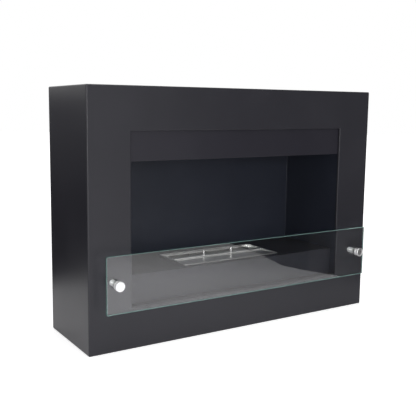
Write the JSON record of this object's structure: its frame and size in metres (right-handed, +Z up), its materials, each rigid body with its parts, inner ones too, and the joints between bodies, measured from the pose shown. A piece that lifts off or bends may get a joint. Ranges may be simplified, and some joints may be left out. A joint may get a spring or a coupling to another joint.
{
  "type": "bioethanol fireplace",
  "caption": "Black sheet-steel bioethanol fireplace with a recessed firebox, a lift-out burner with a sliding lid, and a glass pane on standoffs.",
  "frame": {"origin": "centre of the casing's footprint, on the surface it stands on", "axes": "+X to the viewer's right, +Y towards the wall behind, +Z up; the front faces -Y"},
  "size_m": [0.7, 0.228, 0.5],
  "materials": {
    "black_coat": "satin powder coat, black with a slight blue tint",
    "firebox_coat": "matt heat-resistant black coat",
    "stainless_bright": "polished stainless steel",
    "stainless_brushed": "brushed stainless steel",
    "chrome": "mirror chrome",
    "zinc_steel": "zinc-plated steel",
    "rivet_aluminium": "plain aluminium",
    "black_screw": "black oxide",
    "float_glass": "clear float glass, polished green edges",
    "clear_silicone": "translucent silicone",
    "ceramic_fibre": "off-white ceramic-fibre felt"
  },
  "bodies": {
    "casing": {"casing_shell": "black_coat", "rear_frame": "zinc_steel", "back_panel": "black_coat", "back_panel_screws": "black_screw", "hanger_plates": "zinc_steel", "hanger_rivets": "rivet_aluminium", "firebox_liner": "firebox_coat", "firebox_ceiling": "black_coat", "ceiling_rivets": "rivet_aluminium", "burner_deck": "firebox_coat", "deck_rivets": "rivet_aluminium", "glass_pane": "float_glass", "glass_pads": "clear_silicone", "glass_bushes": "clear_silicone", "standoff_barrel_left": "stainless_brushed", "standoff_barrel_right": "stainless_brushed", "standoff_flange_washers": "chrome", "standoff_cap_left": "chrome", "standoff_cap_right": "chrome", "standoff_screws": "zinc_steel", "standoff_backing_washers": "zinc_steel"},
    "burner": {"burner_rim": "stainless_bright", "burner_tank": "stainless_brushed", "burner_pad": "ceramic_fibre", "burner_slot_plate": "stainless_brushed"},
    "lid": {"burner_lid": "stainless_bright", "lid_posts": "chrome"}
  },
  "joints": [
    {"name": "burner_lift", "type": "slide", "parent": "casing", "child": "burner", "axis": [0, 0, 1], "range_m": [0, 0.065]},
    {"name": "lid_slide", "type": "slide", "parent": "burner", "child": "lid", "axis": [0, 1, 0], "range_m": [0, 0.0395]}
  ]
}
